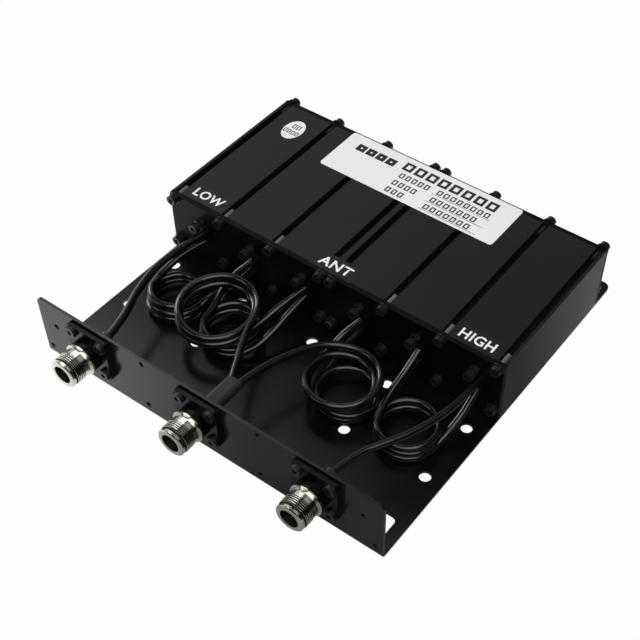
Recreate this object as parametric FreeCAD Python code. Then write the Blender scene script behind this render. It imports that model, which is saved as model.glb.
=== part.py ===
import FreeCAD, Part
import math
import os
from FreeCAD import Vector

# A six-cavity mobile duplexer. A black sheet-metal tray with an upright front panel carries two
# extruded cavity bodies, closed by a front and a rear plate. Six tuning screws pass through the
# front plate. Three panel connectors are wired to the cavities by eight coaxial cables, six of
# them wound into small coils that lie in the bay between panel and housing.
# Millimetres. Sizes are given from the panel's front face (Y = 0), the tray's left edge (X = 0)
# and the tray's underside (Z = 0); export moves the whole to the middle of its footprint.

# Tray: as wide as the two cavity bodies together
sheet = 1.5
rear_ear = 15.4
panel_height = 39.2
bend_inner_r = 1.0
panel_corner_r = 3.0
rear_corner_r = 4.0
floor_hole_d = 6.0
floor_hole_edge = 9.5
floor_hole_rows = (47.6, 83.4)
panel_hole_d = 3.3
panel_wide_hole_inset = 10.5
panel_wide_hole_z = 24.3
panel_near_hole_offset = 35.1
panel_high_hole_z = 36.1
panel_low_hole_z = 6.6
panel_edge_hole_inset = 3.7
notch_inner_x = 16.0
notch_outer_x = 6.2
notch_front_y = 8.0
notch_rear_y = 20.5
notch_r = 3.0

# Housing
housing_front = 96.0
housing_depth = 100.6
housing_height = 38.3
body_width = 104.0
end_plate = 2.9
body_wall = 2.4
web_inset = 3.5
middle_cavity_extra = 1.9
slot_mouth = 3.9
slot_chamfer = 0.7
slot_depth = 4.5
slot_boss_width = 7.0
slot_boss_depth = 7.2
screw_port_z = 7.0
screw_port_boss_d = 6.4
plate_edge = 0.3

# Plate screws: socket cap screws on plain washers
cap_head_d = 5.5
cap_head_h = 3.0
cap_socket = 2.5
cap_socket_depth = 1.6
cap_shank_d = 3.0
plate_screw_length = 10.0
flange_head_d = 6.4
flange_head_h = 1.9
flange_screw_length = 6.5
thread_clearance = 0.05
washer_d = 6.8
washer_t = 0.6
upper_screw_drop = 2.2

# Tuning screws
tuner_first_inset = 21.0
tuner_last_inset = 15.2
tuner_drop = 10.3
tuner_head_gap = 1.6
tuner_nut_af = 5.0
tuner_nut_h = 2.6
tuner_shaft_d = 3.0
tuner_plunger_d = 8.0
tuner_plunger_h = 5.0
tuner_reach = 15.0

# Flat-head screws that hold the bodies down, driven from under the tray
base_screw_head_d = 6.0
base_screw_length = 6.0
base_screw_end_inset = 16.0

# Resonators inside the cavities
helix_side_gap = 4.65
helix_wire = 2.2
helix_turns = 3
helix_sides = 6
helix_pitch = 13.0
helix_open_gap = 10.0
loop_strap = 3.0
loop_strap_t = 0.8
loop_reach = 9.0
loop_foot = 4.0

# Cable ports on the front plate
port_offset = 3.6
port_upper_drop = 4.3
port_lower_drop = 9.9
port_collar_d = 4.6
port_collar_h = 2.6

# Connectors, with the standard 5/8-24 coupling thread
connector_end_inset = 35.5
connector_z = 24.9
flange_side = 25.4
flange_t = 3.0
flange_corner_r = 1.5
flange_hole_pitch = 18.6
barrel_d = 17.0
barrel_end = 8.0
collar_d = 17.7
collar_end = 9.7
thread_d = 15.875
thread_end = 17.0
groove_d = 14.6
groove_width = 0.7
ring_d = 15.2
connector_projection = 20.7
ring_chamfer = 0.8
mouth_chamfer = 0.3
mouth_d = 10.6
barrel_bore_depth = 5.0
insulator_d = 8.4
insulator_setback = 9.0
insulator_seat = 2.0
contact_d = 3.0
contact_setback = 6.0
neck_d = 9.5
neck_length = 5.0
neck_clearance = 0.25

# Cables
cable_d = 4.0
sleeve_d = 6.4
sleeve_length = 5.0
splice_width = 9.6
splice_height = 5.6
splice_length = 20.0
splice_cable_offset = 2.2
turn_height = 4.05
coil_gap = 0.3
turn_bevel = 0.29

slot_width = cap_shank_d + 2 * thread_clearance
tray_width = 2 * body_width
housing_rear = housing_front + housing_depth
tray_depth = housing_rear + rear_ear
body_front = housing_front + end_plate
body_rear = housing_rear - end_plate
housing_base = sheet
housing_top = housing_base + housing_height
body_starts = (0.0, body_width)
cavity_step = (body_width - 2 * web_inset - middle_cavity_extra) / 3
web_xs = (
    web_inset,
    web_inset + cavity_step,
    body_width - web_inset - cavity_step,
    body_width - web_inset,
)
cavity_xs = tuple((a + b) / 2 for a, b in zip(web_xs, web_xs[1:]))
tuner_step = (body_width - tuner_first_inset - tuner_last_inset) / 2
tuner_xs = tuple(s + tuner_first_inset + i * tuner_step for s in body_starts for i in range(3))
port_xs = tuple(x + port_offset for x in tuner_xs)
connector_xs = (connector_end_inset, tray_width / 2, tray_width - connector_end_inset)
helix_d = cavity_step - body_wall - 2 * helix_side_gap
tuner_z = housing_top - tuner_drop
port_upper_z = tuner_z - port_upper_drop
port_lower_z = tuner_z - port_lower_drop
upper_screw_z = housing_top - upper_screw_drop
lower_screw_z = housing_base + screw_port_z
cavity_mid_z = (housing_base + housing_top) / 2
shift = Vector(-tray_width / 2, -(tray_depth - connector_projection) / 2, 0)

os.makedirs("parts", exist_ok=True)
X = Vector(1, 0, 0)
Y = Vector(0, 1, 0)
Z = Vector(0, 0, 1)


def save(name, shapes):
    """Moves the solids of one piece into the object's frame and writes them."""
    if not isinstance(shapes, (list, tuple)):
        shapes = [shapes]
    solids = [s for shape in shapes for s in shape.Solids]
    out = solids[0] if len(solids) == 1 else Part.makeCompound(solids)
    out = out.translated(shift)
    out.exportStep("parts/" + name + ".step")
    print(name, len(solids), "solids", round(out.Volume, 1), "mm3")
    return out


def block(x0, x1, y0, y1, z0, z1):
    return Part.makeBox(x1 - x0, y1 - y0, z1 - z0, Vector(x0, y0, z0))


def rod(x, z, y0, y1, d):
    """A round bar along Y."""
    return Part.makeCylinder(d / 2, y1 - y0, Vector(x, y0, z), Y)


def polygon_bar(x, z, y0, y1, across_flats, sides=6):
    """A regular polygonal bar along Y."""
    r = across_flats / 2 / math.cos(math.pi / sides)
    pts = []
    for i in range(sides + 1):
        a = 2 * math.pi * (i + 0.5) / sides
        pts.append(Vector(x + r * math.cos(a), y0, z + r * math.sin(a)))
    return Part.Face(Part.makePolygon(pts)).extrude(Y * (y1 - y0))


# Tray: one bent sheet, an upright panel in front and a flat floor behind it.
def make_tray():
    bend_outer_r = bend_inner_r + sheet
    panel = block(0, tray_width, 0, sheet, 0, panel_height)
    floor = block(0, tray_width, 0, tray_depth, 0, sheet)
    inner = block(0, tray_width, sheet, sheet + bend_inner_r, sheet, sheet + bend_inner_r)
    hollow = Part.makeCylinder(
        bend_inner_r,
        tray_width,
        Vector(0, sheet + bend_inner_r, sheet + bend_inner_r),
        X,
    )
    tray = panel.fuse(floor).fuse(inner.cut(hollow)).removeSplitter()
    outer_edge = [
        e for e in tray.Edges
        if e.Length > tray_width - 1 and e.BoundBox.YMax < 0.01 and e.BoundBox.ZMax < 0.01
    ]
    tray = tray.makeFillet(bend_outer_r, outer_edge)
    top_corners = [
        e for e in tray.Edges
        if abs(e.Length - sheet) < 0.01
        and e.BoundBox.ZMin > panel_height - 0.01
        and e.BoundBox.YLength > sheet / 2
    ]
    tray = tray.makeFillet(panel_corner_r, top_corners)
    rear_corners = [
        e for e in tray.Edges
        if abs(e.Length - sheet) < 0.01
        and e.BoundBox.YMin > tray_depth - 0.01
        and e.BoundBox.ZLength > sheet / 2
    ]
    tray = tray.makeFillet(rear_corner_r, rear_corners)
    return tray.cut(Part.makeCompound(tray_cuts()))


def tray_cuts():
    """Floor holes, panel holes, connector holes and the two front corner cut-outs."""
    cuts = []
    span = tray_width - 2 * floor_hole_edge
    for row, y in enumerate(floor_hole_rows):
        for i in range(5):
            if row == 0 and i == 2:
                continue
            x = floor_hole_edge + span * i / 4
            cuts.append(Part.makeCylinder(floor_hole_d / 2, sheet * 3, Vector(x, y, -sheet)))
    mid = tray_width / 2
    wide = mid - panel_wide_hole_inset
    edge = mid - panel_edge_hole_inset
    near = panel_near_hole_offset
    spots = ((wide, panel_wide_hole_z), (near, panel_high_hole_z),
             (near, panel_low_hole_z), (edge, panel_low_hole_z))
    for offset, z in spots:
        for side in (-1, 1):
            cuts.append(rod(mid + side * offset, z, -sheet, sheet * 2, panel_hole_d))
    for x in connector_xs:
        cuts.append(rod(x, connector_z, -sheet, sheet * 2, neck_d + 2 * neck_clearance))
        cuts += [rod(px, pz, -sheet, sheet * 2, slot_width) for px, pz in flange_screw_spots(x)]
    cuts += base_screws(thread_clearance)
    for side in (0, 1):
        x0 = notch_outer_x if side == 0 else tray_width - notch_inner_x
        notch = block(
            x0, x0 + notch_inner_x - notch_outer_x, notch_front_y, notch_rear_y, -sheet, sheet * 2
        )
        uprights = [e for e in notch.Edges if e.BoundBox.ZLength > sheet]
        cuts.append(notch.makeFillet(notch_r, uprights))
    return cuts


# Cavity bodies: one aluminium extrusion each, with three cavities side by side. Screw slots run
# along its top in thickened corners and webs, and round screw ports along its foot.
def make_body(x0):
    outer = block(x0, x0 + body_width, body_front, body_rear, housing_base, housing_top)
    hollow = []
    left = x0 + body_wall
    for i in range(3):
        if i < 2:
            right = x0 + web_xs[i + 1] - body_wall / 2
        else:
            right = x0 + body_width - body_wall
        cavity = block(
            left, right, body_front - 1, body_rear + 1,
            housing_base + body_wall, housing_top - body_wall
        )
        hollow.append(cavity)
        left = right + body_wall
    bosses = []
    for x in web_xs:
        half = slot_boss_width / 2
        low = max(x0 + x - half, x0)
        high = min(x0 + x + half, x0 + body_width)
        bosses.append(
            block(low, high, body_front, body_rear, housing_top - slot_boss_depth, housing_top)
        )
        round_boss = rod(x0 + x, lower_screw_z, body_front, body_rear, screw_port_boss_d)
        bosses.append(round_boss.common(outer))
    body = outer.cut(Part.makeCompound(hollow)).fuse(bosses)
    cuts = []
    for x in web_xs:
        cuts.append(slot_profile(x0 + x).extrude(Y * (body_rear - body_front + 2)))
        cuts.append(rod(x0 + x, lower_screw_z, body_front - 1, body_rear + 1, slot_width))
    cuts += base_screws(thread_clearance)
    return body.cut(Part.makeCompound(cuts)).removeSplitter()


def slot_profile(x):
    """Section of a screw slot: parallel walls under a wider, chamfered mouth."""
    w = slot_width / 2
    m = slot_mouth / 2
    top = housing_top
    pts = [
        (x - w, top - slot_depth),
        (x - w, top - slot_chamfer),
        (x - m, top + 0.01),
        (x + m, top + 0.01),
        (x + w, top - slot_chamfer),
        (x + w, top - slot_depth),
    ]
    corners = [Vector(px, body_front - 1, pz) for px, pz in pts]
    return Part.Face(Part.makePolygon(corners + corners[:1]))


# End plates: flat bars over both bodies, with a small bevel round the outer face.
def make_end_plate(y0, y1, outer_y):
    plate = block(0, 2 * body_width, y0, y1, housing_base, housing_top)
    rim = [
        e for e in plate.Edges
        if abs(e.BoundBox.YMin - outer_y) < 0.01 and abs(e.BoundBox.YMax - outer_y) < 0.01
    ]
    return plate.makeChamfer(plate_edge, rim)


def plate_screw_spots():
    return [
        (s + x, z) for s in body_starts for x in web_xs for z in (lower_screw_z, upper_screw_z)
    ]


def screw_holes(y0, y1):
    return [rod(x, z, y0 - 1, y1 + 1, slot_width) for x, z in plate_screw_spots()]


# A socket screw: a head with a hexagon socket and a shank that passes through the plate or the
# flange. The plate screws have a tall cap head on a washer, made in one with it, and the flange
# screws a low wide head.
def make_socket_screw(x, z, face_y, outward, length, head_d, head_h, washer):
    near = face_y + outward * washer
    far = near + outward * head_h
    head = rod(x, z, min(near, far), max(near, far), head_d)
    floor = far - outward * cap_socket_depth
    head = head.cut(polygon_bar(x, z, min(floor, far), max(floor, far), cap_socket))
    tip = face_y - outward * length
    shank = rod(x, z, min(tip, near), max(tip, near), cap_shank_d)
    if washer:
        ring = rod(x, z, min(face_y, near), max(face_y, near), washer_d)
        shank = shank.fuse(ring)
    return head.fuse(shank).removeSplitter()


# Flat-head screws under the housing. The same shapes, enlarged, cut their holes.
def base_screws(gap):
    screws = []
    inset = base_screw_end_inset
    head_r = base_screw_head_d / 2 + gap
    shank_r = cap_shank_d / 2 + gap
    for start in body_starts:
        for x in (cavity_xs[0], cavity_xs[-1]):
            for y in (housing_front + inset, housing_rear - inset):
                foot = Vector(start + x, y, 0)
                head = Part.makeCone(head_r, shank_r, sheet, foot)
                shank = Part.makeCylinder(shank_r, base_screw_length, foot)
                screws.append(head.fuse(shank))
    return screws


# Tuning screw: a socket head outside, a threaded shaft through nut and plate, and a plunger in
# the cavity.
def make_tuning_screw(x):
    nut_face = housing_front - tuner_nut_h
    head_y = nut_face - tuner_head_gap
    head = rod(x, tuner_z, head_y - cap_head_h, head_y, cap_head_d)
    head = head.cut(
        polygon_bar(
            x, tuner_z, head_y - cap_head_h - 1, head_y - cap_head_h + cap_socket_depth, cap_socket
        )
    )
    plunger_y = body_front + tuner_reach
    shaft = rod(x, tuner_z, head_y, plunger_y, tuner_shaft_d)
    plunger = rod(x, tuner_z, plunger_y, plunger_y + tuner_plunger_h, tuner_plunger_d)
    return head.fuse([shaft, plunger])


def make_tuning_nut(x):
    nut = polygon_bar(x, tuner_z, housing_front - tuner_nut_h, housing_front, tuner_nut_af)
    bore = rod(x, tuner_z, housing_front - tuner_nut_h - 1, housing_front + 1,
               tuner_shaft_d + 2 * thread_clearance)
    return nut.cut(bore)


# Resonator: heavy wire wound round a six-sided form, open at the front and grounded on the
# rear plate by a straight leg.
def make_resonator(x):
    r = (helix_d - helix_wire) / 2
    end_y = body_front + tuner_reach + tuner_plunger_h + helix_open_gap
    steps = helix_turns * helix_sides
    pts = []
    for i in range(steps + 1):
        a = 2 * math.pi * i / helix_sides
        y = end_y + helix_pitch * i / helix_sides
        pts.append(Vector(x + r * math.cos(a), y, cavity_mid_z + r * math.sin(a)))
    pts.append(Vector(pts[-1].x, body_rear, pts[-1].z))
    path = Part.makePolygon(pts)
    first = (pts[1] - pts[0]).normalize()
    h = helix_wire / 2
    side = first.cross(X).normalize()
    up = first.cross(side).normalize()
    corners = [pts[0] + side * (h * a) + up * (h * b) for a, b in ((1, 1), (-1, 1), (-1, -1), (1, -1))]
    section = Part.makePolygon(corners + corners[:1])
    sweep = Part.BRepOffsetAPI.MakePipeShell(path)
    sweep.setTransitionMode(1)
    sweep.add(section)
    sweep.build()
    sweep.makeSolid()
    wire = sweep.shape()
    return wire.common(block(x - helix_d, x + helix_d, body_front, body_rear,
                             housing_base, housing_top))


# Coupling loop: a bent strap from the cable port to the cavity floor.
def make_coupling_loop(x):
    t = loop_strap_t
    w = loop_strap
    z1 = port_lower_z + w / 2
    z0 = housing_base + body_wall
    reach = body_front + loop_reach
    arm = block(x - w / 2, x + w / 2, body_front, reach, z1 - t, z1)
    leg = block(x - w / 2, x + w / 2, reach - t, reach, z0, z1)
    foot = block(x - w / 2, x + w / 2, reach - t - loop_foot, reach, z0, z0 + t)
    return arm.fuse([leg, foot]).removeSplitter()


def make_port_collar(x, z):
    return rod(x, z, housing_front - port_collar_h, housing_front, port_collar_d)


# Connector: a flange with a black barrel, a plated shell with the coupling thread's outside
# size, the insulator and the centre contact.
def revolve_y(x, profile):
    """Turns (radius, y) points about the connector's axis."""
    pts = [Vector(x + r, y, connector_z) for r, y in profile]
    face = Part.Face(Part.makePolygon(pts + pts[:1]))
    return face.revolve(Vector(x, 0, connector_z), Y, 360)


def make_flange(x):
    half = flange_side / 2
    plate = block(x - half, x + half, -flange_t, 0, connector_z - half, connector_z + half)
    corners = [e for e in plate.Edges if e.BoundBox.YLength > flange_t / 2]
    plate = plate.makeFillet(flange_corner_r, corners)
    barrel = rod(x, connector_z, -barrel_end, 0, barrel_d)
    neck = rod(x, connector_z, 0, neck_length, neck_d)
    bore = rod(x, connector_z, -barrel_end - 1, -barrel_end + barrel_bore_depth, mouth_d)
    holes = [
        rod(px, pz, -flange_t - 1, 1, slot_width) for px, pz in flange_screw_spots(x)
    ]
    return plate.fuse([barrel, neck]).cut(Part.makeCompound([bore] + holes)).removeSplitter()


def flange_screw_spots(x):
    """Four screws, one near each corner of the flange."""
    half = flange_hole_pitch / 2
    return [(x + across * half, connector_z + up * half)
            for across in (-1, 1) for up in (-1, 1)]


def make_shell(x):
    bore_r = mouth_d / 2
    profile = [
        (bore_r, -barrel_end),
        (collar_d / 2, -barrel_end),
        (collar_d / 2, -collar_end),
        (thread_d / 2, -collar_end),
        (thread_d / 2, -thread_end),
        (groove_d / 2, -thread_end),
        (groove_d / 2, -thread_end - groove_width),
        (ring_d / 2, -thread_end - groove_width),
        (ring_d / 2, -connector_projection + ring_chamfer),
        (ring_d / 2 - ring_chamfer, -connector_projection),
        (bore_r + mouth_chamfer, -connector_projection),
        (bore_r, -connector_projection + mouth_chamfer),
    ]
    return revolve_y(x, profile)


def make_insulator(x):
    back = -barrel_end + barrel_bore_depth
    front = -connector_projection + insulator_setback
    core = rod(x, connector_z, front, back, insulator_d)
    seat = rod(x, connector_z, back - insulator_seat, back, mouth_d)
    hole = rod(x, connector_z, front - 1, back, contact_d)
    return core.fuse(seat).cut(hole)


def make_contact(x):
    back = -barrel_end + barrel_bore_depth
    return rod(x, connector_z, -connector_projection + contact_setback, back, contact_d)


# Strain sleeves behind the connectors. The aerial one is wide and flat, over two cables.
def make_round_sleeve(x):
    return rod(x, connector_z, neck_length, neck_length + sleeve_length, sleeve_d)


def make_splice_sleeve(x):
    r = splice_height / 2
    flat = splice_width / 2 - r
    y0 = neck_length
    y1 = neck_length + splice_length
    middle = block(x - flat, x + flat, y0, y1, connector_z - r, connector_z + r)
    ends = [rod(x + side * flat, connector_z, y0, y1, splice_height) for side in (-1, 1)]
    return middle.fuse(ends).removeSplitter()


# Cables: straight runs joined by tangent arcs, each arc as wide as its two runs allow.
def make_cable(name, route):
    pts = [Vector(*p) for p in route]
    edges = []
    start = pts[0]
    radii = []
    length = 0.0
    for before, corner, after in zip(pts, pts[1:], pts[2:]):
        into = (corner - before)
        out = (after - corner)
        run = min(into.Length, out.Length)
        into.normalize()
        out.normalize()
        half = into.getAngle(out) / 2
        back = 0.45 * run
        radius = back / math.tan(half)
        a = corner - into * back
        b = corner + out * back
        inward = (out - into).normalize()
        middle = corner + inward * (radius / math.cos(half) - radius)
        edges.append(Part.LineSegment(start, a).toShape())
        edges.append(Part.Arc(a, middle, b).toShape())
        length += (a - start).Length + radius * 2 * half
        radii.append(round(radius, 1))
        start = b
    edges.append(Part.LineSegment(start, pts[-1]).toShape())
    length += (pts[-1] - start).Length
    path = Part.Wire(edges)
    direction = (pts[1] - pts[0]).normalize()
    ring = Part.Wire([Part.Circle(pts[0], direction, cable_d / 2).toShape()])
    tube = path.makePipeShell([ring], True, False)
    section = math.pi * cable_d ** 2 / 4
    print(name, "radii", radii, "length", round(length, 1),
          "volume ratio", round(tube.Volume / (section * length), 4))
    return tube


# A wound coil as one closed ring of the outer shape of its stacked turns.
def make_coil(x, y, outer_d, turns, z0):
    r1 = outer_d / 2
    r0 = r1 - cable_d
    z1 = z0 + turns * turn_height
    c = cable_d * turn_bevel
    profile = [
        (r0, z0 + c),
        (r0 + c, z0),
        (r1 - c, z0),
        (r1, z0 + c),
        (r1, z1 - c),
        (r1 - c, z1),
        (r0 + c, z1),
        (r0, z1 - c),
    ]
    pts = [Vector(x + r, y, z) for r, z in profile]
    face = Part.Face(Part.makePolygon(pts + pts[:1]))
    return face.revolve(Vector(x, y, 0), Z, 360)


save("base_tray", make_tray())
save("left_cavity_body", make_body(body_starts[0]))
save("right_cavity_body", make_body(body_starts[1]))

front_holes = screw_holes(housing_front, body_front) + [
    rod(x, tuner_z, housing_front - 1, body_front + 1, tuner_shaft_d + 2 * thread_clearance)
    for x in tuner_xs
]
front_plate = make_end_plate(housing_front, body_front, housing_front)
save("front_plate", front_plate.cut(Part.makeCompound(front_holes)))
rear_plate = make_end_plate(body_rear, housing_rear, housing_rear)
save("rear_plate", rear_plate.cut(Part.makeCompound(screw_holes(body_rear, housing_rear))))
save("front_plate_screws",
     [make_socket_screw(x, z, housing_front, -1, plate_screw_length, cap_head_d, cap_head_h,
                        washer_t)
      for x, z in plate_screw_spots()])
save("rear_plate_screws",
     [make_socket_screw(x, z, housing_rear, 1, plate_screw_length, cap_head_d, cap_head_h,
                        washer_t)
      for x, z in plate_screw_spots()])
save("housing_base_screws", base_screws(0))

for number, tuner_x in enumerate(tuner_xs, 1):
    save("tuning_screw_%d" % number, make_tuning_screw(tuner_x))
save("tuning_locknuts", [make_tuning_nut(x) for x in tuner_xs])
save("resonator_helices",
     [make_resonator(s + x) for s in body_starts for x in cavity_xs])
save("coupling_loops", [make_coupling_loop(x) for x in port_xs])
save("cable_port_collars",
     [make_port_collar(x, z) for x in port_xs for z in (port_upper_z, port_lower_z)])

for prefix, connector_x in zip(("low", "antenna", "high"), connector_xs):
    save(prefix + "_connector_flange", make_flange(connector_x))
    save(prefix + "_connector_shell", make_shell(connector_x))
    save(prefix + "_connector_insulator", make_insulator(connector_x))
    save(prefix + "_connector_contact", make_contact(connector_x))
flange_spots = [spot for x in connector_xs for spot in flange_screw_spots(x)]
save("connector_flange_screws",
     [make_socket_screw(x, z, -flange_t, -1, flange_screw_length, flange_head_d, flange_head_h,
                        0.0)
      for x, z in flange_spots])
save("low_lead_sleeve", make_round_sleeve(connector_xs[0]))
save("antenna_splice_sleeve", make_splice_sleeve(connector_xs[1]))
save("high_lead_sleeve", make_round_sleeve(connector_xs[2]))

# Coils: centre, outer diameter, turns, and what each stack lies on. Coil 2 is carried above
# coils 1 and 3 by its own stiff leads.
floor_top = sheet + coil_gap
stack_5 = 2 * turn_height + coil_gap
coil_2_lift = 14.8
save("coil_1", make_coil(31.0, 62.2, 31.0, 3, floor_top))
save("coil_2", make_coil(63.3, 59.4, 42.0, 2, floor_top + coil_2_lift))
save("coil_3", make_coil(70.2, 61.3, 31.4, 3, floor_top))
save("coil_4", make_coil(138.6, 62.7, 39.6, 2, floor_top + stack_5))
save("coil_5", make_coil(141.3, 63.3, 34.0, 2, floor_top))
save("coil_6", make_coil(178.2, 61.6, 33.0, 3, floor_top))

# Cable routes, each from the first named end to the second. The points are chosen by hand
# along the real lay of each lead; one per lead follows.
sleeve_end = neck_length + sleeve_length
splice_end = neck_length + splice_length
port_face = housing_front - port_collar_h
p = port_xs
low_x, aerial_x, high_x = connector_xs
routes = {
    "low_lead": [
        (low_x, sleeve_end, connector_z), (33.6, 22, 24.8), (24.5, 42.5, 24.6), (19.3, 69, 24.6),
        (p[0], port_face, port_upper_z)],
    "coil_1_lead_a": [
        (17.7, 59.7, 11.4), (17.4, 70.5, 14), (20.4, 81.5, 18.6), (p[0], port_face, port_lower_z)],
    "coil_1_lead_b": [
        (44.2, 59.2, 7.9), (44.9, 69.5, 8), (47.2, 80.6, 7.8), (53.2, 88.9, 11.4),
        (p[1], port_face, port_lower_z)],
    "coil_3_lead_a": [
        (57.6, 56.0, 11.9), (55.2, 64.5, 12.0), (52.2, 72.5, 12.6), (51.0, 80.4, 14.7), (53.0, 87.6, 19.3),
        (p[1], port_face, port_upper_z)],
    "coil_3_lead_b": [
        (80.7, 52.5, 5.4), (87.2, 59, 7.4), (89.8, 70, 11.5), (90.9, 81.5, 16),
        (p[2], port_face, port_lower_z)],
    "coil_2_lead_a": [
        (aerial_x - splice_cable_offset, splice_end, connector_z), (97.2, 33.8, 24.8), (91.0, 44.6, 24.2),
        (85.7, 55.4, 22.9), (80.9, 66.5, 22.4)],
    "coil_2_lead_b": [
        (81.8, 55, 18.3), (85.1, 66.8, 18.2), (89, 81, 23.2), (p[2], port_face, port_upper_z)],
    "coil_4_lead_a": [
        (aerial_x + splice_cable_offset, splice_end, connector_z), (107.6, 38.5, 24.6), (112.6, 56.5, 22.4),
        (119.2, 70.6, 20.6), (125.6, 77.0, 18.9), (133.1, 79.9, 16.9)],
    "coil_4_lead_b": [
        (121.1, 60.0, 12.6), (120.4, 70, 12.8), (121, 79, 14), (123.2, 87.6, 18.8),
        (p[3], port_face, port_upper_z)],
    "coil_5_lead_a": [
        (126.5, 61.0, 5.5), (124.4, 71, 5.7), (123.8, 81, 7.2), (125.8, 89.4, 12.8),
        (p[3], port_face, port_lower_z)],
    "coil_5_lead_b": [
        (155.9, 59.7, 5.6), (158.8, 68.5, 6.4), (160.1, 78.5, 9.1), (160.6, 87.6, 14.2),
        (p[4], port_face, port_lower_z)],
    "coil_6_lead_a": [
        (165.5, 54.6, 11.7), (162.6, 63.5, 12.6), (161.9, 74, 16), (162.2, 84.5, 19.5),
        (p[4], port_face, port_upper_z)],
    "coil_6_lead_b": [
        (192.5, 59.1, 5.5), (195.0, 68.5, 7.5), (196.6, 78.5, 12.5), (196.8, 87.2, 17.2),
        (p[5], port_face, port_lower_z)],
    "high_lead": [
        (high_x, sleeve_end, connector_z), (175.0, 25.5, 25), (182.6, 38, 25), (190.4, 54, 25),
        (196.0, 74.5, 25.6), (p[5], port_face, port_upper_z)],
}
for route_name, route in routes.items():
    save(route_name, make_cable(route_name, route))
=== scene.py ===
import math
import bpy
from mathutils import Matrix, Quaternion, Vector


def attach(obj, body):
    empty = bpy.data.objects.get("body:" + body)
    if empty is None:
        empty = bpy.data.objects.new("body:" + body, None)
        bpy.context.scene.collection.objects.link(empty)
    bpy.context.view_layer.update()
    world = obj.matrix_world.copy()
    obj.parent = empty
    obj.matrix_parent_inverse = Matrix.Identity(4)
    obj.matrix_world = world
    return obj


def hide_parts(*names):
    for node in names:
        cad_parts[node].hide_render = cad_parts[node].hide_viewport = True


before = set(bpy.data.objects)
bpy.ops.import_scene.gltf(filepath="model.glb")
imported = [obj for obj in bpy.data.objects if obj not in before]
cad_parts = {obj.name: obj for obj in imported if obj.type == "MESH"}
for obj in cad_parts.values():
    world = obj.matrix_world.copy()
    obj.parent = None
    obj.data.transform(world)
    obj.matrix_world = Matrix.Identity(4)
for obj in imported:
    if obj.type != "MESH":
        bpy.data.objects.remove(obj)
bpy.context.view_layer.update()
bpy.ops.object.select_all(action="DESELECT")

# The photograph's view: from the front right and well above, with a long lens. The picture was
# cut from a wider frame, so the lens axis lies a little right of and below its middle.
camera_data = bpy.data.cameras.new("product_camera")
camera_data.lens = 67.62
camera_data.sensor_width = 36.0
camera_data.shift_x = -0.0722
camera_data.shift_y = 0.0500
camera = bpy.data.objects.new("product_camera", camera_data)
bpy.context.scene.collection.objects.link(camera)
camera_place = (0.26198, -0.33496, 0.45975)
camera_right = Vector((0.80876, 0.58801, 0.01243))
camera_up = Vector((-0.44582, 0.59913, 0.66505))
camera_back = Vector((0.38361, -0.5434, 0.7467))
camera_turn = Matrix((camera_right, camera_up, camera_back)).transposed().to_4x4()
camera.matrix_world = Matrix.Translation(camera_place) @ camera_turn
bpy.context.scene.camera = camera

# Base tray: one folded sheet of 1.5 mm steel, powder-coated black, that carries everything else.
# The coat is a fine, even orange peel with a satin gloss, and the cut edges are slightly eased.


def linear(code):
    """An sRGB hex colour as the linear values that a shader takes."""
    channels = [int(code[i:i + 2], 16) / 255 for i in (1, 3, 5)]
    return [c / 12.92 if c <= 0.04045 else ((c + 0.055) / 1.055) ** 2.4 for c in channels] + [1.0]


def new_material(name):
    """A material with only a Principled shader, and its tree and shader."""
    material = bpy.data.materials.new(name)
    material.use_nodes = True
    tree = material.node_tree
    return material, tree, tree.nodes["Principled BSDF"]


def add(tree, kind, settings=None, links=None):
    """Adds a node. Settings are its properties or socket values, links feed its sockets."""
    node = tree.nodes.new(kind)
    for key, value in (settings or {}).items():
        if isinstance(key, str) and hasattr(node, key):
            setattr(node, key, value)
        else:
            node.inputs[key].default_value = value
    for key, socket in (links or {}).items():
        tree.links.new(socket, node.inputs[key])
    return node


def textured_skin(material, grain_mm, depth_mm, strength, detail=2.0):
    """Gives a material's surface a fine, soft grain."""
    tree = material.node_tree
    place = add(tree, "ShaderNodeTexCoord")
    grain = add(tree, "ShaderNodeTexNoise", {"Scale": 1000.0 / grain_mm, "Detail": detail},
                {"Vector": place.outputs["Object"]})
    bump = add(tree, "ShaderNodeBump", {"Strength": strength, "Distance": depth_mm / 1000.0},
               {"Height": grain.outputs["Fac"]})
    tree.links.new(bump.outputs["Normal"], tree.nodes["Principled BSDF"].inputs["Normal"])


def coated_metal(name, colour, lighter, roughness, peel_mm, peel_depth_mm, specular):
    """Paint or anodising on metal: a base tone with faint, wide clouds, and a textured skin."""
    material, tree, shader = new_material(name)
    cloud_mm = 25.0
    place = add(tree, "ShaderNodeTexCoord")
    clouds = add(tree, "ShaderNodeTexNoise", {"Scale": 1000.0 / cloud_mm, "Detail": 3.0},
                 {"Vector": place.outputs["Object"]})
    tone = add(tree, "ShaderNodeMix", {"data_type": "RGBA", 6: linear(colour), 7: linear(lighter)},
               {0: clouds.outputs["Fac"]})
    tree.links.new(tone.outputs[2], shader.inputs["Base Color"])
    rough = add(tree, "ShaderNodeMapRange", {"To Min": roughness - 0.05, "To Max": roughness + 0.06},
                {"Value": clouds.outputs["Fac"]})
    tree.links.new(rough.outputs["Result"], shader.inputs["Roughness"])
    textured_skin(material, peel_mm, peel_depth_mm, strength=0.25)
    shader.inputs["Specular IOR Level"].default_value = specular
    return material


def finish_with(node_name, material):
    """Gives a CAD node the material in each of its slots."""
    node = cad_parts[node_name]
    if not node.data.materials:
        node.data.materials.append(material)
    for entry in node.material_slots:
        entry.material = material


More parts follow.
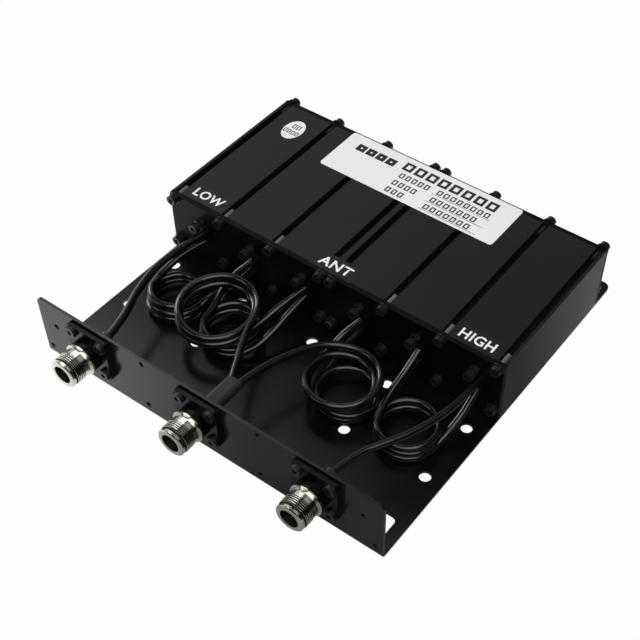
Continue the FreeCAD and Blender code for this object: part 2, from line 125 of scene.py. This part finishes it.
def ease_edges(node_name, width_mm):
    """Rounds a CAD node's sharp edges a little, as real edges are, so that they catch the light."""
    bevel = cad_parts[node_name].modifiers.new("eased_edges", "BEVEL")
    bevel.width = width_mm / 1000.0
    bevel.segments = 2
    bevel.limit_method = "ANGLE"
    bevel.angle_limit = math.radians(50)


powder_coat = coated_metal("black_powder_coat", "#07070a", "#0a0a0e", roughness=0.21, peel_mm=0.9,
                           peel_depth_mm=0.02, specular=0.45)
edge_ease_mm = 0.25
finish_with("base_tray", powder_coat)
ease_edges("base_tray", edge_ease_mm)

# Cavity bodies: two equal aluminium extrusions, side by side on the tray, bead-blasted and
# anodised black. The skin is finer and flatter than paint, with a soft sheen.
anodised = coated_metal("black_anodised_aluminium", "#0a0a0c", "#0d0d0f", roughness=0.4,
                        peel_mm=0.35, peel_depth_mm=0.01, specular=0.45)
for body_name in ("left_cavity_body", "right_cavity_body"):
    finish_with(body_name, anodised)

# Inner pieces: six resonator helices and six coupling loops of silver-plated copper, hidden in
# the closed cavities. A light tarnish makes their shine uneven.


def one_colour(name, colour, grain_mm, smooth, rough, metallic=0.0, detail=2.0):
    """A material of one colour, whose roughness wanders between smooth and rough."""
    material, tree, shader = new_material(name)
    place = add(tree, "ShaderNodeTexCoord")
    grain = add(tree, "ShaderNodeTexNoise", {"Scale": 1000.0 / grain_mm, "Detail": detail},
                {"Vector": place.outputs["Object"]})
    spread = add(tree, "ShaderNodeMapRange", {"To Min": smooth, "To Max": rough},
                 {"Value": grain.outputs["Fac"]})
    tree.links.new(spread.outputs["Result"], shader.inputs["Roughness"])
    shader.inputs["Base Color"].default_value = linear(colour)
    shader.inputs["Metallic"].default_value = metallic
    return material


silver_plate = one_colour("silver_plated_copper", "#d8d4c8", grain_mm=8.33, smooth=0.22,
                          rough=0.4, metallic=1.0)
for inner_name in ("resonator_helices", "coupling_loops"):
    finish_with(inner_name, silver_plate)

# End plates: two flat steel bars that close both bodies at the front and the rear. They have a
# dull black lacquer whose colour is set very dark, darker than the bodies' tops, which is partly
# painted shade for the front plate that faces away from the lamps.
# Painted shade: the lacquer's colour is darkened below the bodies' black.
shade_darkened_lacquer = coated_metal("dull_black_lacquer_darkened_as_painted_shade", "#030304", "#050506", roughness=0.46,
                       peel_mm=0.5, peel_depth_mm=0.01, specular=0.12)
for plate_name in ("front_plate", "rear_plate"):
    finish_with(plate_name, shade_darkened_lacquer)

# Screws: steel screws in the rear plate, the connector flanges and under the tray, and the six
# tuning screws with their nuts. Their black oxide is thin and smooth, so they show the metal's
# shine as small grey glints.


def blackened_metal(name, colour, roughness):
    """Metal under a thin black finish that lets much of its shine through."""
    return one_colour(name, colour, grain_mm=1.11, smooth=roughness - 0.08,
                      rough=roughness + 0.1, metallic=0.75, detail=3.0)


oxide_grey = "#39393b"
oxide_roughness = 0.2
black_oxide = blackened_metal("black_oxide_steel", oxide_grey, oxide_roughness)
screw_names = ["rear_plate_screws", "housing_base_screws", "connector_flange_screws",
               "tuning_locknuts"]
screw_names += ["tuning_screw_%d" % number for number in range(1, 7)]
for screw_name in screw_names:
    finish_with(screw_name, black_oxide)

# Front plate screws: black caps like the rear ones. From the plate's front face on, which is at
# 0.35 mm on the model's Y axis, their shanks are worn to bright steel and show as light bars in
# the slots of the bodies.
worn_screw = blackened_metal("black_oxide_cap_with_bright_shank", oxide_grey, oxide_roughness)
bright_steel = "#969694"
shank_start = 0.0003
shank_bright = 0.0005
worn_tree = worn_screw.node_tree
worn_place = add(worn_tree, "ShaderNodeTexCoord")
worn_parts = add(worn_tree, "ShaderNodeSeparateXYZ", None, {0: worn_place.outputs["Object"]})
worn_share = add(worn_tree, "ShaderNodeMapRange",
                 {"From Min": shank_start, "From Max": shank_bright, "To Min": 0.0, "To Max": 1.0},
                 {"Value": worn_parts.outputs["Y"]})
worn_tone = add(worn_tree, "ShaderNodeMix",
                {"data_type": "RGBA", 6: linear(oxide_grey), 7: linear(bright_steel)},
                {0: worn_share.outputs["Result"]})
worn_tree.links.new(worn_tone.outputs[2], worn_tree.nodes["Principled BSDF"].inputs["Base Color"])
finish_with("front_plate_screws", worn_screw)

# Cable ports: twelve small blackened collars on the front plate, in six pairs, with a cable end
# soldered into each. They are darker than the screws, with a softer glint.
port_black = blackened_metal("blackened_port_collar", "#1c1c1e", 0.28)
finish_with("cable_port_collars", port_black)

# Connectors: three turned brass flanges with a barrel in one piece, plated black and screwed to
# the panel. The plating is nearly black and satin, and the flange edges are slightly eased.
connector_xs = {"low": 35.5, "antenna": 104.0, "high": 172.5}
connector_z = 24.9
black_plated = blackened_metal("black_plated_brass", "#121214", 0.24)
for port in connector_xs:
    finish_with(port + "_connector_flange", black_plated)
    ease_edges(port + "_connector_flange", edge_ease_mm)

# Connector shells: each is turned from brass in one piece, with a plain collar, the rolled
# coupling thread and the front ring, and is bright nickel plated. Fine turning marks run round it.
# The bore and the thread's roots get a dull, dark grey nickel, which is painted shade for these
# recesses.
nickel, nickel_tree, nickel_shader = new_material("turned_nickel_plate")
mark_pitch_mm = 0.35
pitch_at_scale_one = math.pi / 10
nickel_place = add(nickel_tree, "ShaderNodeTexCoord")
nickel_marks = add(nickel_tree, "ShaderNodeTexWave",
                   {"bands_direction": "Y", "Scale": pitch_at_scale_one * 1000.0 / mark_pitch_mm,
                    "Distortion": 0.6, "Detail": 1.0},
                   {"Vector": nickel_place.outputs["Object"]})
nickel_rough = add(nickel_tree, "ShaderNodeMapRange", {"To Min": 0.12, "To Max": 0.2},
                   {"Value": nickel_marks.outputs["Fac"]})
nickel_tree.links.new(nickel_rough.outputs["Result"], nickel_shader.inputs["Roughness"])
nickel_shader.inputs["Base Color"].default_value = linear("#e6e3d8")
nickel_shader.inputs["Metallic"].default_value = 1.0
# Painted shade: a dark, dull nickel for the recesses that light hardly reaches.
nickel_painted_shade = one_colour("nickel_with_painted_recess_shade", "#45433c", grain_mm=1.25, smooth=0.4, rough=0.55,
                         metallic=1.0)


def here(x, y, z):
    """A point in mm from the panel's lower left front corner, as metres in the model's frame."""
    return Vector(((x - 104.0) / 1000, (y - 95.65) / 1000, z / 1000))


def lathe(name, outline, centre, steps):
    """Turns an outline of (radius, y) pairs in mm about a line along Y through centre."""
    x, z = centre
    bpy.ops.mesh.primitive_plane_add(size=0.001, location=here(x, 0, z))
    piece = bpy.context.object
    piece.name = name
    bpy.ops.object.transform_apply(location=True, rotation=True, scale=True)
    bpy.ops.object.mode_set(mode="EDIT")
    bpy.ops.mesh.select_all(action="SELECT")
    bpy.ops.mesh.merge(type="CENTER")
    first_r, first_y = outline[0]
    bpy.ops.transform.translate(value=(first_r / 1000, first_y / 1000, 0))
    for (r0, y0), (r1, y1) in zip(outline, outline[1:]):
        step = ((r1 - r0) / 1000, (y1 - y0) / 1000, 0)
        bpy.ops.mesh.extrude_vertices_move(TRANSFORM_OT_translate={"value": step})
    bpy.ops.mesh.select_all(action="SELECT")
    bpy.ops.mesh.spin(steps=steps, angle=2 * math.pi, center=here(x, 0, z), axis=(0, 1, 0))
    bpy.ops.mesh.select_all(action="SELECT")
    bpy.ops.mesh.remove_doubles(threshold=1e-6)
    bpy.ops.mesh.normals_make_consistent(inside=False)
    bpy.ops.object.mode_set(mode="OBJECT")
    bpy.ops.object.shade_smooth_by_angle(angle=math.radians(30))
    piece.select_set(False)
    return piece


thread_pitch = 1.058
thread_turns = 4
crest = 7.9375
shoulder = 7.72
root = 7.15
# One turn of the thread: each radius, and how far in front of the turn's start it lies.
thread_turn = ((crest, 0.0), (crest, 0.3), (shoulder, 0.42), (root, 0.62), (root, 0.72),
               (shoulder, 0.94))
thread_y = -13.5
# The turned outline, as radius and y, from the panel side forward and back through the bore.
shell_outline = [(5.3, -8.0), (8.7, -8.0), (8.85, -8.15), (8.85, -8.95), (8.7, -9.15), (7.45, -9.3),
                 (7.45, -9.75), (7.75, -9.95), (7.75, -12.9), (7.1, -13.05), (7.1, -13.3)]
for turn in range(thread_turns):
    shell_outline += [(radius, thread_y - step) for radius, step in thread_turn]
    thread_y -= thread_pitch
shell_outline += [(crest, thread_y), (shoulder, thread_y - 0.12), (6.85, thread_y - 0.3),
                  (6.85, -18.75), (7.55, -18.95), (7.6, -20.2), (7.15, -20.6), (6.9, -20.7),
                  (5.0, -20.7), (4.85, -20.55), (4.85, -19.9), (5.3, -19.8), (5.3, -8.0)]
# Faces in the bore and in the thread's roots, found by their distance from the axis, take the darker
# nickel as painted shade.
bore_reach = 0.00535
root_reach = 0.0077
thread_front = -0.0188
thread_back = -0.013
for port, connector_x in connector_xs.items():
    shell = lathe(port + "_threaded_shell", shell_outline, (connector_x, connector_z), steps=72)
    shell.data.materials.append(nickel)
    shell.data.materials.append(nickel_painted_shade)
    for face in shell.data.polygons:
        spot = face.center - here(connector_x, 0, connector_z)
        reach = math.hypot(spot.x, spot.z)
        in_groove = reach < root_reach and thread_front < spot.y < thread_back
        if reach < bore_reach or in_groove:
            face.material_index = 1
    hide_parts(port + "_connector_shell")
    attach(shell, "chassis")

# Connector insides: a dark moulded fluoropolymer sleeve, pressed into the shell, round a
# gold-plated brass contact. The sleeve is waxy and satin, the gold bright.
dark_polymer = one_colour("dark_moulded_fluoropolymer", "#262522", grain_mm=1.43, smooth=0.35,
                          rough=0.5)
gold = one_colour("gold_plated_brass", "#c9a75c", grain_mm=1.67, smooth=0.18, rough=0.3,
                  metallic=1.0)
for port in connector_xs:
    finish_with(port + "_connector_insulator", dark_polymer)
    finish_with(port + "_connector_contact", gold)

# Sleeves: black polyolefin heat-shrink tube, shrunk over the cable ends behind the connectors.
# It is dark grey and satin, slightly wavy where it lies over the braid.
shrink, shrink_tree, shrink_shader = new_material("black_polyolefin_heat_shrink")
shrink_shader.inputs["Base Color"].default_value = linear("#1a1a1c")
shrink_shader.inputs["Roughness"].default_value = 0.42
textured_skin(shrink, grain_mm=2.86, depth_mm=0.1, strength=0.3)
for sleeve_name in ("low_lead_sleeve", "antenna_splice_sleeve", "high_lead_sleeve"):
    finish_with(sleeve_name, shrink)

# Cables: eight lengths of 4 mm coaxial cable with a smooth, glossy black PVC jacket. Two run
# straight from a connector to a port. The other six are wound by hand into a small, loose coil.
jacket = one_colour("black_pvc_jacket", "#0b0b0c", grain_mm=3.85, smooth=0.17, rough=0.26,
                    detail=3.0)
textured_skin(jacket, grain_mm=3.85, depth_mm=0.08, strength=0.15, detail=3.0)
cable_d = 0.004


def along(values, share):
    """The value at a share, from 0 to 1, of the way along an evenly spaced list."""
    spot = share * (len(values) - 1)
    before = int(spot)
    after = min(before + 1, len(values) - 1)
    return values[before] + (values[after] - values[before]) * (spot % 1)


def turns_of(centre, radii, heights, start, sweep):
    """Points along a coil's turns, mm, from start through sweep degrees, positive to the left.
    The loose turns change radius and height as the short lists say, evenly along the sweep.
    The smooth cable runs a little inside its points, so they lie that much further out."""
    step_degrees = 24
    smoothed_radius = 0.983
    count = round(abs(sweep) / step_degrees)
    points = []
    for i in range(count + 1):
        share = i / count
        angle = math.radians(start + sweep * share)
        reach = along(radii, share) / smoothed_radius
        points.append((centre[0] + reach * math.cos(angle), centre[1] + reach * math.sin(angle),
                       along(heights, share)))
    return points


def lay_cable(name, points, nodes):
    """One cable as a smooth line along its listed points and its coil's turns. The line
    rounds their corners off, so it is a little shorter than the way from point to point."""
    curve = bpy.data.curves.new(name, "CURVE")
    curve.dimensions = "3D"
    curve.bevel_depth = cable_d / 2
    curve.bevel_resolution = 4
    curve.resolution_u = 8
    curve.use_fill_caps = True
    spline = curve.splines.new("NURBS")
    spots = [here(*p) for p in points]
    spline.points.add(len(spots) - 1)
    for point, spot in zip(spline.points, spots):
        point.co = (*spot, 1.0)
    spline.order_u = 3
    spline.use_endpoint_u = True
    cable = bpy.data.objects.new(name, curve)
    bpy.context.scene.collection.objects.link(cable)
    curve.materials.append(jacket)
    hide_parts(*nodes)
    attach(cable, "chassis")


# The cables end in the mouths of the port collars, of which each pair has an upper and a lower.
port_xs = (24.6, 58.5, 92.4, 128.6, 162.5, 196.4)
collar_mouth = 93.4
upper = 25.2
lower = 19.6
lay_cable("low_cable", [
    (connector_xs["low"], 10, connector_z), (33.6, 22, 24.8), (24.5, 42.5, 24.6), (19.3, 69, 24.6),
    (port_xs[0], collar_mouth, upper)], ["low_lead"])
lay_cable("high_cable", [
    (connector_xs["high"], 10, connector_z), (175.0, 25.5, 25), (182.6, 38, 25), (190.4, 54, 25),
    (196.0, 74.5, 25.6), (port_xs[5], collar_mouth, upper)], ["high_lead"])
lay_cable("coil_cable_1", [
    (port_xs[0], collar_mouth, lower), (20.4, 81.5, 18.6), (17.4, 70.5, 14)]
    + turns_of((30.6, 62.9), (12.9, 12.7, 12.8, 13.8, 14.3, 14.7, 14.4),
               (12.2, 12.0, 10.0, 8.0, 6.0, 3.9, 4.6), 190, 877)
    + [(44.9, 69.5, 8), (47.2, 80.6, 7.8), (53.2, 88.9, 11.4), (port_xs[1], collar_mouth, lower)],
    ["coil_1_lead_a", "coil_1", "coil_1_lead_b"])
lay_cable("coil_cable_3", [
    (port_xs[1], collar_mouth, upper), (53.0, 87.6, 19.3), (51.0, 80.4, 14.7), (52.2, 72.5, 12.6),
    (55.2, 64.5, 12.0)]
    + turns_of((69.3, 61.4), (14.2, 14.6, 14.7, 14.8, 14.5, 14.8, 14.5),
               (11.9, 11.8, 11.6, 8.0, 7.6, 5.6, 3.9), 203, 837)
    + [(87.2, 59, 7.4), (89.8, 70, 11.5), (90.9, 81.5, 16), (port_xs[2], collar_mouth, lower)],
    ["coil_3_lead_a", "coil_3", "coil_3_lead_b"])
lay_cable("coil_cable_2", [
    (101.8, 25, connector_z), (97.2, 33.8, 24.8), (91.0, 44.6, 24.2), (85.7, 55.4, 22.9)]
    + turns_of((63.3, 59.4), (20.4, 20.0, 19.9, 20.3, 18.2, 18.7, 19.3, 20.7, 20.0),
               (23.2, 24.6, 22.8, 19.6, 20.1, 20.5, 18.4, 15.4, 17.0), 22, 685)
    + [(85.1, 66.8, 18.2), (89, 81, 23.2), (port_xs[2], collar_mouth, upper)],
    ["coil_2_lead_a", "coil_2", "coil_2_lead_b"])
lay_cable("coil_cable_4", [
    (106.2, 25, connector_z), (107.6, 38.5, 24.6), (112.6, 56.5, 22.4), (119.2, 70.6, 20.6),
    (125.6, 77.0, 19.3)]
    + turns_of((138.6, 62.7), (18.0, 19.2, 18.4, 18.2, 17.0, 16.4, 15.9, 16.2, 17.5),
               (18.9, 18.4, 16.9, 16.4, 15.6, 13.5, 12.2, 12.2, 12.4), 104, -634)
    + [(120.4, 70, 12.8), (121, 79, 14), (123.2, 87.6, 18.8), (port_xs[3], collar_mouth, upper)],
    ["coil_4_lead_a", "coil_4", "coil_4_lead_b"])
lay_cable("coil_cable_5", [
    (port_xs[3], collar_mouth, lower), (125.8, 89.4, 12.8), (123.8, 81, 7.2), (124.4, 71, 5.4)]
    + turns_of((141.3, 63.3), (14.9, 15.0, 15.0, 15.2, 15.3, 15.2, 15.0),
               (4.3, 3.8, 4.4, 7.4, 8.1, 8.1, 6.2), 189, 517)
    + [(158.8, 68.5, 6.4), (160.1, 78.5, 9.1), (160.6, 87.6, 14.2),
       (port_xs[4], collar_mouth, lower)],
    ["coil_5_lead_a", "coil_5", "coil_5_lead_b"])
lay_cable("coil_cable_6", [
    (port_xs[4], collar_mouth, upper), (162.2, 84.5, 19.5), (161.9, 74, 16), (162.6, 63.5, 12.6)]
    + turns_of((178.2, 61.9), (14.9, 14.8, 15.2, 14.8, 15.1, 15.2, 14.9),
               (11.7, 11.6, 10.6, 7.9, 6.6, 4.4, 4.0), 209, 861)
    + [(195.0, 68.5, 7.5), (196.6, 78.5, 12.5), (196.8, 87.2, 17.2),
       (port_xs[5], collar_mouth, lower)],
    ["coil_6_lead_a", "coil_6", "coil_6_lead_b"])

# Data label: a plate of white vinyl with rounded corners, stuck on the housing and printed in
# black. The vinyl is matt and slightly uneven. The print is drawn as empty boxes and ruled lines.
vinyl, vinyl_tree, vinyl_shader = new_material("white_vinyl_label")
vinyl_cloud_mm = 4.55
vinyl_place = add(vinyl_tree, "ShaderNodeTexCoord")
vinyl_noise = add(vinyl_tree, "ShaderNodeTexNoise", {"Scale": 1000.0 / vinyl_cloud_mm, "Detail": 2.0},
                  {"Vector": vinyl_place.outputs["Object"]})
vinyl_tone = add(vinyl_tree, "ShaderNodeMix",
                 {"data_type": "RGBA", 6: linear("#f6f6f3"), 7: linear("#fbfbf9")},
                 {0: vinyl_noise.outputs["Fac"]})
vinyl_tree.links.new(vinyl_tone.outputs[2], vinyl_shader.inputs["Base Color"])
vinyl_shader.inputs["Roughness"].default_value = 0.5
label_ink = one_colour("black_label_ink", "#1e1e1f", grain_mm=2.0, smooth=0.5, rough=0.7)
housing_top = 39.8
print_lift = 0.02


def thin_plate(name, centre, size, thickness, corner, material, round_steps):
    """A thin flat plate on the housing, mm, with its vertical edges rounded."""
    x, y = centre
    bpy.ops.mesh.primitive_cube_add(size=1.0, location=here(x, y, housing_top + thickness / 2))
    plate = bpy.context.object
    plate.name = name
    plate.scale = (size[0] / 1000, size[1] / 1000, thickness / 1000)
    bpy.ops.object.transform_apply(location=True, rotation=True, scale=True)
    bpy.ops.object.mode_set(mode="EDIT")
    bpy.ops.mesh.select_mode(type="EDGE")
    bpy.ops.mesh.select_all(action="DESELECT")
    bpy.ops.object.mode_set(mode="OBJECT")
    for edge in plate.data.edges:
        a, b = [plate.data.vertices[v].co for v in edge.vertices]
        edge.select = abs(a.z - b.z) > thickness / 2000
    bpy.ops.object.mode_set(mode="EDIT")
    bpy.ops.mesh.bevel(offset=corner / 1000, segments=round_steps)
    bpy.ops.mesh.select_mode(type="VERT")
    bpy.ops.object.mode_set(mode="OBJECT")
    plate.data.materials.append(material)
    plate.select_set(False)
    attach(plate, "chassis")


def row_of_boxes(first_x, y, pitch, count, width, depth, line):
    """A row of empty boxes, mm, each drawn by four bars as wide as line."""
    side = (width - line) / 2
    end = (depth - line) / 2
    bars = []
    for i in range(count):
        x = first_x + pitch * i
        bars += [(x - side, y, line, depth), (x + side, y, line, depth),
                 (x, y - end, width - 2 * line, line), (x, y + end, width - 2 * line, line)]
    return bars


def printed_bars(name, bars, z, material):
    """Flat printed bars in one mesh: each is its middle and its width and depth, mm."""
    piece = None
    for x, y, width, depth in bars:
        bpy.ops.mesh.primitive_plane_add(size=1.0, location=here(x, y, z))
        bar = bpy.context.object
        bar.scale = (width / 1000, depth / 1000, 1.0)
        bpy.ops.object.transform_apply(location=True, rotation=True, scale=True)
        if piece:
            piece.select_set(True)
            bpy.context.view_layer.objects.active = piece
            bpy.ops.object.join()
        piece = bpy.context.object
    piece.name = name
    piece.data.materials.append(material)
    piece.select_set(False)
    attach(piece, "chassis")


label_t = 0.08
thin_plate("data_label", (103.5, 179.15), (110.0, 32.7), label_t, corner=1.8, material=vinyl,
           round_steps=6)
label_bars = row_of_boxes(60.0, 186.4, 6.6, 4, width=5.6, depth=5.6, line=2.2)
label_bars += row_of_boxes(90.4, 188.4, 7.6, 8, width=6.0, depth=6.8, line=1.7)
# Three rows of small boxes, each with a ruled line under its right part.
for row_y, left_count, right_count in ((180.4, 5, 8), (173.6, 4, 7), (167.0, 3, 7)):
    label_bars += row_of_boxes(91.2, row_y, 4.0, left_count, width=2.8, depth=4.1, line=0.8)
    label_bars += row_of_boxes(115.4, row_y + 0.4, 4.2, right_count, width=3.0, depth=3.9, line=0.8)
    label_bars.append((130.0, row_y - 2.3, 36.0, 0.3))
printed_bars("data_label_print", label_bars, housing_top + label_t + print_lift, label_ink)

# Inspection sticker: a small oval of the same white vinyl, stuck on the left body and printed in
# black, here with two rows of empty boxes.
sticker_width = 11.8
sticker_depth = 16.8
sticker_t = 0.12
bpy.ops.mesh.primitive_cylinder_add(vertices=48, radius=0.5, depth=1.0,
                                    location=here(19.8, 176.5, housing_top + sticker_t / 2))
sticker = bpy.context.object
sticker.name = "inspection_sticker"
sticker.scale = (sticker_width / 1000, sticker_depth / 1000, sticker_t / 1000)
bpy.ops.object.transform_apply(location=True, rotation=True, scale=True)
sticker.data.materials.append(vinyl)
sticker.select_set(False)
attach(sticker, "chassis")
sticker_bars = row_of_boxes(18.6, 179.4, 2.9, 2, width=2.2, depth=3.6, line=0.6)
sticker_bars += row_of_boxes(15.9, 174.2, 2.6, 4, width=2.0, depth=3.2, line=0.55)
printed_bars("inspection_sticker_print", sticker_bars, housing_top + sticker_t + print_lift, label_ink)

# Port markers: three patches of black tape along the housing's front edge, stuck down, each
# printed in white with the port's name. The tape is satin, the print matt.
marker_tape = one_colour("black_marker_tape", "#0c0c0e", grain_mm=5.56, smooth=0.34, rough=0.44)
marker_white = one_colour("white_marker_print", "#f4f4f4", grain_mm=3.33, smooth=0.45, rough=0.6)
tape_size = (25.5, 11.4)
tape_t = 0.04
letter_height = 6.2
for word, x, y, word_width in (("LOW", 19.8, 105.0, 18.9), ("ANT", 104.3, 103.8, 19.2),
                               ("HIGH", 188.2, 103.9, 19.4)):
    thin_plate(word.lower() + "_marker_tape", (x, y), tape_size, tape_t, corner=0.6,
               material=marker_tape, round_steps=2)
    bpy.ops.object.text_add(location=(0, 0, 0))
    letters = bpy.context.object
    letters.name = word.lower() + "_marker_print"
    letters.data.body = word
    letters.data.align_x = "CENTER"
    letters.data.align_y = "CENTER"
    letters.data.offset = 0.022
    letters.data.space_character = 1.08
    letters.data.resolution_u = 4
    bpy.ops.object.convert(target="MESH")
    letters = bpy.context.object
    wide, tall = letters.dimensions.x, letters.dimensions.y
    low_x = min(v.co.x for v in letters.data.vertices)
    low_y = min(v.co.y for v in letters.data.vertices)
    bpy.ops.object.mode_set(mode="EDIT")
    bpy.ops.mesh.select_all(action="SELECT")
    bpy.ops.transform.translate(value=(-low_x - wide / 2, -low_y - tall / 2, 0))
    bpy.ops.transform.resize(value=(word_width / wide / 1000, letter_height / tall / 1000, 1.0),
                             center_override=(0, 0, 0))
    bpy.ops.transform.translate(value=here(x, y, housing_top + tape_t + print_lift))
    bpy.ops.object.mode_set(mode="OBJECT")
    letters.data.materials.append(marker_white)
    letters.select_set(False)
    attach(letters, "chassis")

# Studio floor: white paper that keeps the object's soft shadow. The camera sees it nearly white.
# In the object's gloss it shows a painted glow, which fades from white at the back left to painted
# shade at the near right.
floor_material, floor_tree, floor_shader = new_material("white_paper_floor")
floor_shader.inputs["Base Color"].default_value = linear("#8c8c8c")
floor_shader.inputs["Roughness"].default_value = 0.9
floor_glow = add(floor_tree, "ShaderNodeEmission", {"Color": (1, 1, 1, 1), "Strength": 1.0})
floor_path = add(floor_tree, "ShaderNodeLightPath")
floor_place = add(floor_tree, "ShaderNodeTexCoord")
# Painted light in reflections: the glow's share for glossy rays falls from the back left to the near
# right.
to_back_left = (-4.25, 2.8, 0.0)
floor_side = add(floor_tree, "ShaderNodeVectorMath", {"operation": "DOT_PRODUCT", 1: to_back_left},
                 {0: floor_place.outputs["Object"]})
floor_painted_fade = add(floor_tree, "ShaderNodeMapRange",
                 {"From Min": -0.38, "From Max": 0.08, "To Min": 0.0, "To Max": 1.0},
                 {"Value": floor_side.outputs["Value"]})
camera_share = 0.985
floor_seen = add(floor_tree, "ShaderNodeMath", {"operation": "MULTIPLY", 1: camera_share},
                 {0: floor_path.outputs["Is Camera Ray"]})
floor_share = add(floor_tree, "ShaderNodeMath", {"operation": "MULTIPLY_ADD"},
                  {0: floor_path.outputs["Is Glossy Ray"], 1: floor_painted_fade.outputs["Result"],
                   2: floor_seen.outputs[0]})
floor_mix = add(floor_tree, "ShaderNodeMixShader", None,
                {0: floor_share.outputs[0], 1: floor_shader.outputs[0], 2: floor_glow.outputs[0]})
floor_output = floor_tree.nodes["Material Output"]
floor_tree.links.new(floor_mix.outputs[0], floor_output.inputs["Surface"])
floor_z = -0.0002
bpy.ops.mesh.primitive_plane_add(size=6.0, location=(0, 0, floor_z))
studio_floor = bpy.context.object
studio_floor.name = "studio_floor"
studio_floor.data.materials.append(floor_material)
studio_floor.select_set(False)

# Studio walls: the world stands in for them. It is pale behind and to the left of the object,
# with a softer patch high at the back right, and the camera sees it white.
world = bpy.data.worlds.new("studio_world")
bpy.context.scene.world = world
world.use_nodes = True
sky = world.node_tree
sky_light = sky.nodes["Background"]
sky_place = add(sky, "ShaderNodeTexCoord")
left_wall = (-0.75, 0.6, -0.25)
sky_left = add(sky, "ShaderNodeVectorMath", {"operation": "DOT_PRODUCT", 1: left_wall},
               {0: sky_place.outputs["Generated"]})
sky_fall = add(sky, "ShaderNodeMapRange",
               {"From Min": 0.32, "From Max": 0.62, "To Min": 0.0, "To Max": 0.56},
               {"Value": sky_left.outputs["Value"]})
right_patch = (0.42, 0.42, 0.80)
sky_right = add(sky, "ShaderNodeVectorMath", {"operation": "DOT_PRODUCT", 1: right_patch},
                {0: sky_place.outputs["Generated"]})
sky_patch = add(sky, "ShaderNodeMapRange",
                {"From Min": 0.88, "From Max": 0.98, "To Min": 0.0, "To Max": 0.3},
                {"Value": sky_right.outputs["Value"]})
sky_sum = add(sky, "ShaderNodeMath", {"operation": "ADD"},
              {0: sky_fall.outputs["Result"], 1: sky_patch.outputs["Result"]})
sky.links.new(sky_sum.outputs[0], sky_light.inputs["Strength"])
sky_light.inputs["Color"].default_value = (0.93, 0.96, 1.0, 1)
sky_seen = add(sky, "ShaderNodeBackground", {"Color": (1, 1, 1, 1), "Strength": 1.0})
sky_path = add(sky, "ShaderNodeLightPath")
sky_mix = add(sky, "ShaderNodeMixShader", None,
              {0: sky_path.outputs["Is Camera Ray"], 1: sky_light.outputs[0],
               2: sky_seen.outputs[0]})
sky.links.new(sky_mix.outputs[0], sky.nodes["World Output"].inputs["Surface"])

# Lamps: a long strip that draws the light line along the connector shells, two small soft lamps
# from the left and the front left, and a large soft one over the front right.


def soft_lamp(name, place, aim, size, power, lean=0.0):
    """A flat lamp of the given width and depth, facing aim, turned by lean degrees."""
    lamp_data = bpy.data.lights.new(name, "AREA")
    lamp_data.shape = "RECTANGLE"
    lamp_data.size, lamp_data.size_y = size
    lamp_data.energy = power
    lamp = bpy.data.objects.new(name, lamp_data)
    lamp.location = place
    facing = (Vector(aim) - Vector(place)).to_track_quat("-Z", "Y")
    lamp.rotation_euler = (facing @ Quaternion((0, 0, 1), math.radians(lean))).to_euler()
    bpy.context.scene.collection.objects.link(lamp)


soft_lamp("key_strip", place=(-0.35, 0.255, 0.77), aim=(0, -0.11, 0.025), size=(0.62, 0.07),
          power=0.42, lean=-49.0)
soft_lamp("left_softbox", place=(-1.0, 0.0, 0.4), aim=(0, 0, 0), size=(0.4, 0.4), power=4.0)
soft_lamp("edge_softbox", place=(-0.52, -0.88, 0.45), aim=(0, -0.1, 0.03), size=(0.5, 0.3),
          power=1.6)
soft_lamp("front_softbox", place=(0.45, -0.6, 1.1), aim=(0, 0, 0), size=(1.4, 1.4), power=17.0)

bpy.context.scene.view_settings.view_transform = "Standard"
